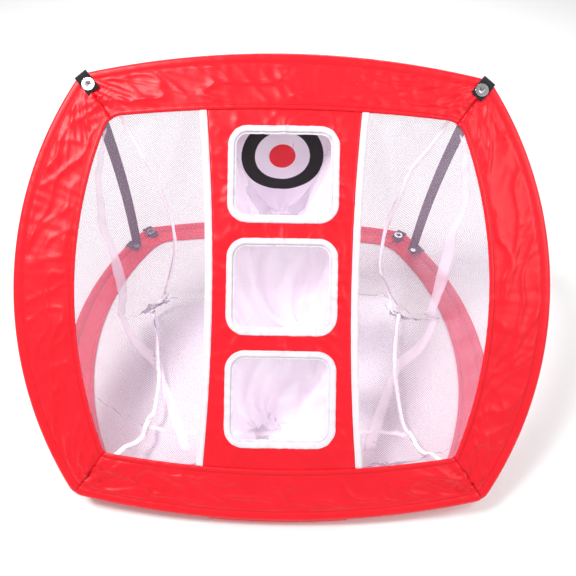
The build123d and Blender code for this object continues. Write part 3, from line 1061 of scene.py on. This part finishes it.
webbing_width, webbing_thickness = 0.017, 0.0013
tab_hole_radius = 0.0046
for loop, place, body in (("front", front_place, "front_frame"), ("base", base_place, "base_frame")):
    for name, side in (("left", -1), ("right", 1)):
        centre = eyelet_spot(side)
        angle = math.pi / 2 - side * tab_angle
        points = tab_points(place, centre, angle, -0.0023, 0.0049, -0.0105, 0.0165)
        across = Vector(place(-math.sin(angle), math.cos(angle), 0)) - Vector(place(0, 0, 0))
        line = smooth_line(points, 44)
        tab = ribbon(
            f"{loop}_{name}_webbing_tab", line, across, webbing_width, webbing_thickness, webbing, body
        )
        normal = Vector(place(0, 0, 1)) - Vector(place(0, 0, 0))
        cut_hole(tab, place(centre.x, centre.y, 0), normal, tab_hole_radius)
        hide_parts(f"{loop}_{name}_tab")
print("tabs made")

# %% [markdown]
# ## Straps, anchors and the hinge tape
# A strap runs from each top corner down to a sleeve round the base hem, and the hinge tape joins the two
# bottom hems. A strap crosses the fold, so it is attached to neither body. Everything else rides on the base.

# %% Straps, anchors and hinge tape
def corners(node):
    """The low and high corners of a node's box."""
    return [Vector(corner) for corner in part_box(node)]


for name, side in (("left", -1), ("right", 1)):
    low, high = corners(f"{name}_side_strap")
    top = Vector((side * (min(abs(low.x), abs(high.x)) + 0.010), low.y + 0.001, high.z - 0.001))
    bottom = Vector((side * (max(abs(low.x), abs(high.x)) - 0.010), high.y - 0.001, low.z + 0.0012))
    points = []
    for share in np.linspace(0, 1, 13):
        point = top.lerp(bottom, share)
        slack = math.sin(math.pi * share)
        point += Vector((-side * 0.004, 0.006, 0)) * slack
        points.append(point)
    across = (1, 0.12 * side, 0)
    strap = ribbon(f"{name}_strap", smooth_line(points, 60), across, 0.0168, webbing_thickness, webbing, None)
    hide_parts(f"{name}_side_strap")
    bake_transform(strap)

    anchor_low, anchor_high = corners(f"{name}_strap_anchor")
    middle = (anchor_low + anchor_high) / 2
    outward = Vector((side * 0.92, 0.39, 0)).normalized()
    half = 0.0135
    top_z = anchor_high.z - 0.0007
    outline = [
        middle - outward * half + Vector((0, 0, top_z - middle.z)),
        middle + outward * (half - 0.004) + Vector((0, 0, top_z - middle.z)),
        middle + outward * (half - 0.0006) + Vector((0, 0, top_z - middle.z - 0.0012)),
        middle + outward * half + Vector((0, 0, anchor_low.z + 0.0006 - middle.z)),
    ]
    across = outward.cross(Vector((0, 0, 1)))
    line = smooth_line(outline, 26)
    anchor = ribbon(
        f"{name}_anchor_webbing", line, across, 0.0165, webbing_thickness, webbing, "base_frame"
    )
    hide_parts(f"{name}_strap_anchor")

tape_low, tape_high = corners("hinge_tape")
tape_line = [
    Vector((0, tape_high.y - 0.0012, tape_low.z + 0.0008)),
    Vector((0, tape_low.y + 0.0006, (tape_low.z + tape_high.z) / 2)),
    Vector((0, tape_high.y - 0.0016, tape_high.z - 0.0008)),
]
hinge_fabric = ribbon(
    "hinge_fabric", smooth_line(tape_line, 14), (1, 0, 0), tape_high.x - tape_low.x, 0.001,
    red_base, "base_frame", columns=60,
)
for vertex in hinge_fabric.data.vertices:
    vertex.co.y += 0.0012 + end_bulge * (vertex.co.x / corner_half_width) ** 2
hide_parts("hinge_tape")
print("straps, anchors and hinge tape made")

# %% [markdown]
# ## The net bag
# The bag is one long net from the top band down to the ground and forward to the bottom band, with a gusset
# on each side. Net has no stiffness, so its folds come from gravity: the pieces are laid out roughly, cut a
# little too large, pinned along the front opening and dropped with Blender's Cloth onto the ground.

# %% Lay out the bag
bag_half = 0.2065
bag_rows, bag_columns, gusset_columns = 86, 56, 22
rim_depth = -0.0002
back_share = 0.55


def bag_spine(side):
    """Points down the back and along the ground at one edge of the main net, from top to front."""
    top = front_place(0, 0.4965, rim_depth)
    front = front_place(0, 0.0660, rim_depth)
    low = 0.004
    back_y = top.y - 0.004
    line = np.array([
        (top.y, top.z),
        (back_y, (top.z + low) / 2),
        (back_y - 0.012, low + 0.03),
        (back_y - 0.045, low),
        (front.y + 0.055, low),
        (front.y, front.z),
    ])
    line = resample(line, bag_rows)
    for _ in range(3):
        line[1:-1] = (line[:-2] + 2 * line[1:-1] + line[2:]) / 4
    points = []
    for index, (y, z) in enumerate(line):
        share = index / (bag_rows - 1)
        if share < back_share:
            bow = 0.055 * math.sin(math.pi * share / back_share)
        else:
            bow = 0.034 * math.sin(math.pi * (share - back_share) / (1 - back_share))
        points.append(Vector((side * (bag_half - bow), y, z)))
    return points


def rim_point(side, share):
    """A point on the inner edge of a side band, from its top corner down."""
    line = front_inner["left"] if side < 0 else front_inner["right"][::-1]
    spots = resample(line, 101)
    u = float(np.interp(share, np.linspace(0, 1, 101), spots[:, 0]))
    v = float(np.interp(share, np.linspace(0, 1, 101), spots[:, 1]))
    return front_place(u + side * 0.002, v, rim_depth)


def build_bag():
    """The whole bag as one grid: left gusset, main net and right gusset."""
    left, right = bag_spine(-1), bag_spine(1)
    rows = []
    for i in range(bag_rows):
        share = i / (bag_rows - 1)
        row = [rim_point(-1, share).lerp(left[i], j / gusset_columns) for j in range(gusset_columns)]
        row += [left[i].lerp(right[i], j / bag_columns) for j in range(bag_columns + 1)]
        row += [right[i].lerp(rim_point(1, share), (j + 1) / gusset_columns) for j in range(gusset_columns)]
        rows.append(row)
    for i in (0, bag_rows - 1):
        for j in range(gusset_columns, gusset_columns + bag_columns + 1):
            u = rows[i][j].x
            outline = front_inner["far"] if i == 0 else front_inner["near"]
            line = outline[np.argsort(outline[:, 0])]
            v = float(np.interp(u, line[:, 0], line[:, 1])) + (0.002 if i == 0 else -0.002)
            rows[i][j] = front_place(u, v, rim_depth)
    for i in range(1, bag_rows - 1):
        for j in range(1, len(rows[i]) - 1):
            point = rows[i][j]
            wave = 0.004 * ruffle(point.x / 0.06, point.y / 0.07 + point.z / 0.05, 101.0)
            point.y -= wave
            point.z = max(0.0025, point.z + abs(wave) * 0.4)
    return rows


bag_points = build_bag()
bag_width = len(bag_points[0])


def flat_uv(rows):
    """UVs in metres that follow each row and column of a grid."""
    middle = len(rows[0]) // 2
    uv = []
    for row, height in zip(rows, running_length(row[middle] for row in rows)):
        across = running_length(row)
        uv.append([(x - across[middle], height) for x in across])
    return uv


bag_slack = 0.05
bag = grid_mesh("bag", bag_points, flat_uv(bag_points))
print("bag grid:", bag_rows, "by", bag_width)

# %% [markdown]
# ## The pockets and the printed cloth
# Each window has a small pouch of denser net behind it, also hung by gravity. A pouch starts as rings that
# shrink from the window's edge towards its lowest point. The printed cloth hangs behind the top window, and
# its lower end is rounded.

# %% Lay out the pockets
pocket_shape = {
    "upper": dict(drop=0.112, back=0.50, apex=(0.0, 0.048), raised=0.0165, seed=113.0),
    "middle": dict(drop=0.072, back=0.34, apex=(0.022, -0.006), raised=0.0, seed=127.0),
    "lower": dict(drop=0.052, back=0.30, apex=(-0.012, -0.016), raised=0.0, seed=131.0),
}
pocket_rings, pocket_steps = 22, 96


def pocket_rows(name):
    """Rings of net from the window's edge to the bottom of its pouch."""
    shape = pocket_shape[name]
    rim = window_line(name, -0.0020, pocket_steps)
    centre = np.array((column_offset, window_heights[name]))
    raised = np.maximum(0, rim[:, 1] - centre[1]) / (window_size[1] / 2)
    rim[:, 1] += raised * shape["raised"]
    down = Vector((0, 0, -1))
    back = -face_out
    way = (down * (1 - shape["back"]) + back * shape["back"]).normalized()
    rows = []
    for ring in range(pocket_rings):
        share = ring / (pocket_rings - 1)
        size = (1 - share) ** 0.55 * 0.985 + 0.015
        depth = shape["drop"] * (1 - (1 - share) ** 2.2)
        row = []
        for step, spot in enumerate(rim):
            u, v = centre + (spot - centre) * size + np.array(shape["apex"]) * share
            point = front_place(u, v, -0.0004 - shape["raised"] * 0.12 * raised[len(row)]) + way * depth
            if ring:
                angle = 2 * math.pi * step / pocket_steps
                wave = ruffle(math.cos(angle) * 3, math.sin(angle) * 3 + share * 2, shape["seed"])
                point += way * 0.009 * wave * min(1.0, share * 3)
            row.append(point)
        rows.append(row)
    return rows


pocket_slack = 0.13
pockets = {}
for name in window_heights:
    rows = pocket_rows(name)
    ring_length = 0.45
    uv = [
        [(ring_length * j / pocket_steps, 0.1 * i / pocket_rings) for j in range(pocket_steps)]
        for i in range(pocket_rings)
    ]
    pockets[name] = grid_mesh(f"{name}_ball_pocket", rows, uv, loop_columns=True)
print("pockets:", sorted(pockets))

# %% [markdown]
# ## The printed cloth's flat pattern
# This small cloth hangs from its top seam behind the top window. It is stiffer than net and hardly drapes,
# so it is shaped directly: it hangs straight, curls a little at its sides and narrows to a tongue.

# %% Lay out the printed cloth
target_size = (0.130, 0.152)
target_seam = Vector(joints["target_swing"]["pos_m"])


def target_rows():
    """The cloth from its top seam down. It hangs straight, and narrows to a rounded tongue."""
    rows, uv = [], []
    count = 52
    for i in range(count):
        share = i / (count - 1)
        y, z = 0.0, -0.0035 - share * target_size[1]
        past = max(0.0, share * target_size[1] - 0.045) / (target_size[1] - 0.045)
        half = target_size[0] / 2 * (1 - min(past, 0.99)) ** 0.62
        row, line = [], []
        for x in np.linspace(-1, 1, 44):
            curl = 0.010 * share * (x * half / 0.05) ** 2 - 0.003 * share
            wave = 0.0012 * ruffle(x * 2.2, share * 3.0, 139.0) * min(1.0, share * 4)
            row.append(Vector((target_seam.x + x * half, target_seam.y + y - curl + wave, target_seam.z + z)))
            line.append((x * half, -share * target_size[1]))
        rows.append(row)
        uv.append(line)
    return rows, uv


rows, uv = target_rows()
target = grid_mesh("printed_target", rows, uv)
print("printed cloth:", target_size)

# %% [markdown]
# ## Let gravity shape the net
# Blender's Cloth needs a pin group for the sewn edges and something to land on. A slightly negative shrink
# makes the cut larger than its layout, so the net falls into folds instead of lying taut. All nets are
# simulated in the same run, and each result is kept as plain mesh.

# %% Cloth simulation
def pin(thing, indices):
    group = thing.vertex_groups.new(name="sewn")
    group.add(list(indices), 1.0, "REPLACE")


def add_cloth(thing, growth, stiffness, bending):
    cloth = thing.modifiers.new("cloth", "CLOTH")
    settings = cloth.settings
    settings.quality = 7
    settings.mass = 0.04
    settings.air_damping = 2.0
    settings.tension_stiffness = stiffness
    settings.compression_stiffness = stiffness
    settings.shear_stiffness = stiffness * 0.4
    settings.bending_stiffness = bending
    settings.vertex_group_mass = "sewn"
    settings.shrink_min = -growth
    settings.shrink_max = -growth
    cloth.collision_settings.use_collision = True
    cloth.collision_settings.distance_min = 0.0012
    cloth.collision_settings.use_self_collision = False
    cloth.point_cache.frame_start = 1
    cloth.point_cache.frame_end = 60


bag_pins = set()
for i in range(bag_rows):
    bag_pins.update((i * bag_width, i * bag_width + bag_width - 1))
bag_pins.update(range(bag_width))
bag_pins.update(range((bag_rows - 1) * bag_width, bag_rows * bag_width))
pin(bag, bag_pins)
for thing in pockets.values():
    pin(thing, range(pocket_steps))

simulated = [bag, *pockets.values()]
cloth_frames = 34
bpy.ops.mesh.primitive_plane_add(size=3, location=(0, 0, 0.0008))
ground = bpy.context.object
ground.modifiers.new("collision", "COLLISION")
add_cloth(bag, bag_slack, 12, 0.015)
for thing in pockets.values():
    add_cloth(thing, pocket_slack, 8, 0.015)
scene.frame_start, scene.frame_end = 1, 60
for step in range(1, cloth_frames + 1):
    scene.frame_set(step)
for thing in simulated:
    apply_modifiers(thing)
bpy.data.objects.remove(ground)
scene.frame_set(1)
print("draped:", [thing.name for thing in simulated])

# %% [markdown]
# ## Split the bag and bind its seams
# The simulated grid is cut into the three nets it is sewn from. The rows of points where they meet are where
# the real bag has white tape, so the tape follows those points.

# %% Split the bag
def grid_rows_of(thing, rows, columns):
    co = np.empty(len(thing.data.vertices) * 3)
    thing.data.vertices.foreach_get("co", co)
    return co.reshape(rows, columns, 3)


draped_bag = grid_rows_of(bag, bag_rows, bag_width)
draped_bag[:, :, 2] = np.maximum(draped_bag[:, :, 2], 0.0012)
face_point = np.array(front_place(0, 0.28, 0.0))
in_front = (draped_bag - face_point) @ np.array(face_out) + 0.0006
draped_bag[1:-1, 1:-1] -= np.maximum(in_front, 0)[1:-1, 1:-1, None] * np.array(face_out)
bag_uv = flat_uv(bag_points)
splits = {
    "left_gusset": (0, gusset_columns),
    "main_bag_net": (gusset_columns, gusset_columns + bag_columns),
    "right_gusset": (gusset_columns + bag_columns, bag_width - 1),
}
stands_for = {"left_gusset": "left_side_net", "main_bag_net": "main_net", "right_gusset": "right_side_net"}
nets = {}
for name, (first, last) in splits.items():
    rows = [[Vector(draped_bag[i, j]) for j in range(first, last + 1)] for i in range(bag_rows)]
    uv = [[bag_uv[i][j] for j in range(first, last + 1)] for i in range(bag_rows)]
    net = grid_mesh(name, rows, uv)
    with editing(net) as work:
        bmesh.ops.remove_doubles(work, verts=work.verts, dist=0.0004)
    nets[name] = net
bpy.data.objects.remove(bag)


for name, net in nets.items():
    finish_mesh(net, thickness=0.0004)
    net.data.materials.append(bag_net)
    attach(net, "front_frame")
    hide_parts(stands_for[name])
print("nets:", sorted(nets))

# %% [markdown]
# ## Net that lies double
# Where spare net is folded on itself it looks whiter. Strips of a denser net, laid on the draped points,
# show that along each gusset and across the bag's floor. They could be simulated too, but strips that
# follow the finished bag can't drift away from it.

# %% Folded net along each gusset
gusset_folds = {}
fold_spans = {
    "left": (0, gusset_columns),
    "right": (bag_width - 1, bag_width - 1 - gusset_columns),
}
for name, (first, last) in fold_spans.items():
    rows = []
    for i in range(3, 79):
        share = (i - 3) / 75
        middle = first + (last - first) * (0.10 + 1.35 * share**1.7)
        row = []
        for edge in np.linspace(-1.0, 1.0, 5):
            j = middle + edge * (1.1 + 0.4 * ruffle(share * 6, 0.0, 151.0))
            low = min(max(int(math.floor(j)), 0), bag_width - 2)
            spot = draped_bag[i, low] * (1 - j + low) + draped_bag[i, low + 1] * (j - low)
            inwards = -1 if name == "right" else 1
            row.append(Vector(spot) + Vector((inwards * 0.0025, -0.0008, 0.0012)))
        rows.append(row)
    fold = grid_mesh(f"{name}_gusset_fold", rows)
    finish_mesh(fold, thickness=0.0005)
    fold.data.materials.append(folded_net)
    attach(fold, "front_frame")
    fold.visible_shadow = False
    gusset_folds[name] = fold
hem_row = bag_rows - 12
rows = []
for j in range(gusset_columns + 1, gusset_columns + bag_columns):
    before, after = draped_bag[hem_row, j], draped_bag[hem_row + 1, j]
    across = [before + (after - before) * x for x in np.linspace(-0.3, 0.6, 4)]
    rows.append([Vector(point) + Vector((0, 0, 0.0016)) for point in across])
toe_hem = grid_mesh("bag_floor_hem", rows)
finish_mesh(toe_hem, thickness=0.0006)
toe_hem.data.materials.append(folded_net)
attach(toe_hem, "front_frame")
toe_hem.visible_shadow = False
gusset_folds["floor"] = toe_hem
print("folds:", sorted(gusset_folds))

# %% [markdown]
# ## Tape over the bag's seams
# White tape is folded over the seams between the main net and the gussets. It follows the grid's own column
# of points, so it sags with the net, and it is a soft flat tube because a folded tape has no sharp edge.

# %% Seam tape on the bag
def tube_along(name, line, radius, material, body, flatness=0.6, sides=8):
    """A soft, slightly flat tube along real points, closed at both ends."""
    line = [Vector(point) for point in line]
    rows = []
    for index, point in enumerate(line):
        way = (line[min(index + 1, len(line) - 1)] - line[max(index - 1, 0)]).normalized()
        side = way.cross(Vector((0.3, 0.2, 1))).normalized()
        up = side.cross(way).normalized()
        rows.append([
            point + side * radius * math.cos(a) + up * radius * flatness * math.sin(a)
            for a in np.linspace(0, 2 * math.pi, sides, endpoint=False)
        ])
    thing = grid_mesh(name, rows, loop_columns=True)
    close_ends(thing)
    finish_mesh(thing)
    thing.data.materials.append(material)
    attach(thing, body)
    return thing


seam_tape = woven_material("seam tape", srgb(244, 236, 244), srgb(254, 248, 254), 0.7, 0.0010, 0.5)
seam_shader = seam_tape.node_tree.nodes["Principled BSDF"]
# A little emission gives the tape a painted glow, so it looks brighter than the lamps alone make it.
seam_shader.inputs["Emission Color"].default_value = srgb(252, 244, 250)
seam_shader.inputs["Emission Strength"].default_value = 0.25

seams = {}
seam_radius = 0.0034
corner_row = int(np.argmin([abs(point.z - 0.01) + max(0, -point.y) for point in bag_spine(1)]))
for name, column_index in (("left", gusset_columns), ("right", gusset_columns + bag_columns)):
    edge = draped_bag[:, column_index]
    back, floor = edge[1 : corner_row + 1], edge[corner_row:-1]
    for part, points in (("back", back), ("floor", floor)):
        points = points + np.array((0, 0, 0.0010))
        line = smooth_line(points, 110)
        seam = tube_along(f"{name}_{part}_binding", line, seam_radius, seam_tape, "front_frame")
        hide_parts(f"{name}_{part}_seam")
        seams[seam.name] = seam
print("seam tapes:", sorted(seams))

# %% [markdown]
# ## Print the bullseye
# The bullseye is ink on plain white cloth: a red dot, a white ring and a black ring. It is drawn from the
# distance to its centre in the cloth's own UV map, so it bends with the cloth and needs no picture.

# %% Printed cloth material
bullseye_drop = 0.0593
dot_radius, ring_inner, ring_outer = 0.0172, 0.0355, 0.0530


def ring_mask(tree, distance, low, high):
    inside = math_node(tree, "GREATER_THAN", distance, low)
    outside = math_node(tree, "LESS_THAN", distance, high)
    return math_node(tree, "MULTIPLY", inside, outside)


def printed_material():
    material, tree, shader = new_material("printed cloth", 0.7)
    uv = coordinates(tree)
    shift = tree.nodes.new("ShaderNodeMapping")
    shift.inputs["Location"].default_value = (0, bullseye_drop, 0)
    tree.links.new(uv, shift.inputs["Vector"])
    size = tree.nodes.new("ShaderNodeVectorMath")
    size.operation = "LENGTH"
    tree.links.new(shift.outputs["Vector"], size.inputs[0])
    distance = size.outputs["Value"]
    weave = tree.nodes.new("ShaderNodeGroup")
    weave.node_tree = weave_group
    weave.inputs["Thread pitch"].default_value = 0.0007
    tree.links.new(uv, weave.inputs["Vector"])
    plain = shade_mix(tree, weave.outputs["Shade"], srgb(240, 232, 246), srgb(250, 243, 252))
    dot = shade_mix(tree, ring_mask(tree, distance, -1.0, dot_radius), (0, 0, 0, 1), srgb(238, 36, 52))
    tree.links.new(plain, dot.node.inputs["A"])
    ring = shade_mix(tree, ring_mask(tree, distance, ring_inner, ring_outer), (0, 0, 0, 1), srgb(16, 15, 18))
    tree.links.new(dot, ring.node.inputs["A"])
    tree.links.new(ring, shader.inputs["Base Color"])
    add_bump(tree, shader, weave.outputs["Height"], 0.3, 0.0002)
    return material


finish_mesh(target, thickness=0.0005)
target.data.materials.append(printed_material())
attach(target, "target_flap")
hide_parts("target_cloth")

for name, thing in pockets.items():
    thing.vertex_groups.clear()
    with editing(thing) as work:
        work.verts.ensure_lookup_table()
        work.faces.new([work.verts[(pocket_rings - 1) * pocket_steps + step] for step in range(pocket_steps)])
for name, thing in pockets.items():
    finish_mesh(thing, thickness=0.0004)
    thing.data.materials.append(pocket_net)
    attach(thing, "front_frame")
    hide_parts(f"{name}_pocket")
for thing in (*nets.values(), *pockets.values()):
    thing.visible_shadow = False
print("hung behind the windows:", sorted(pockets))

# %% [markdown]
# ## The cloth that collapses when the net folds
# The bag, the pockets and the seams collapse against the front when it closes. Here each of these pieces,
# with the folds and the printed cloth, only gets a mesh of its own.

collapsing = [*nets.values(), *pockets.values(), *seams.values(), *gusset_folds.values(), target]
for thing in collapsing:
    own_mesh(thing)


# %% [markdown]

# %% [markdown]
# ## Floor, light and camera
# A pale floor and broad soft lights give an even picture with gentle highlights on the satin. The camera
# looks square on to the leaning front, a little over half a metre away.

# %% Stage
bpy.ops.mesh.primitive_plane_add(size=40, location=(0, 0, -0.0006))
floor = bpy.context.object
floor.name = "studio_floor"
floor_material, _, floor_shader = new_material("pale floor", 0.9)
floor_shader.inputs["Base Color"].default_value = (0.92, 0.92, 0.92, 1)
floor.data.materials.append(floor_material)
floor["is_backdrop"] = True

world = bpy.data.worlds.new("studio")
world.use_nodes = True
world.node_tree.nodes["Background"].inputs["Color"].default_value = (1, 1, 1, 1)
world.node_tree.nodes["Background"].inputs["Strength"].default_value = 0.52
scene.world = world
scene.view_settings.view_transform = "Standard"


def soft_light(name, place, aim, size, power):
    data = bpy.data.lights.new(name, "AREA")
    data.shape = "RECTANGLE"
    data.size, data.size_y = size
    data.energy = power
    lamp = bpy.data.objects.new(name, data)
    lamp.location = place
    lamp.rotation_euler = (Vector(aim) - Vector(place)).to_track_quat("-Z", "Y").to_euler()
    scene.collection.objects.link(lamp)
    return lamp


soft_light("key", (-1.0, -0.2, 1.9), (0, 0, 0.15), (0.5, 0.4), 29)
soft_light("fill", (1.4, -0.6, 1.6), (0, 0, 0.15), (1.0, 0.8), 11)
soft_light("back", (0.2, 1.5, 1.4), (0, 0.1, 0.1), (1.2, 0.5), 14)

lens, sensor_width = 32, 36
view_distance = 0.618
view_side = -0.026
sideways = 0.0075
aim = front_place(view_side, 0.2815, 0.003)
camera_data = bpy.data.cameras.new("camera")
camera_data.lens = lens
camera_data.sensor_width = sensor_width
camera_data.shift_x = (sideways - view_side) / view_distance * lens / sensor_width
camera = bpy.data.objects.new("camera", camera_data)
camera.location = aim + face_out * view_distance
look = (aim - camera.location).to_track_quat("-Z", "Y").to_matrix().to_4x4()
roll = Matrix.Rotation(math.radians(0.9), 4, "Z")
camera.matrix_world = Matrix.Translation(camera.location) @ look @ roll
scene.collection.objects.link(camera)
scene.camera = camera
print("camera at", tuple(round(value, 3) for value in camera.location))

# %% [markdown]
# ## Print the sizes
# The box round the finished pieces is printed beside the frame's own box, where a cloth larger than the
# object would show.

# %% Print the sizes
visual_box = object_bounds()


def plain(box):
    return [[float(value) for value in corner] for corner in box]


{"cad": plain(cad_box), "visual": plain(visual_box)}
print("CAD box", plain(cad_box))
print("visual box", plain(visual_box))
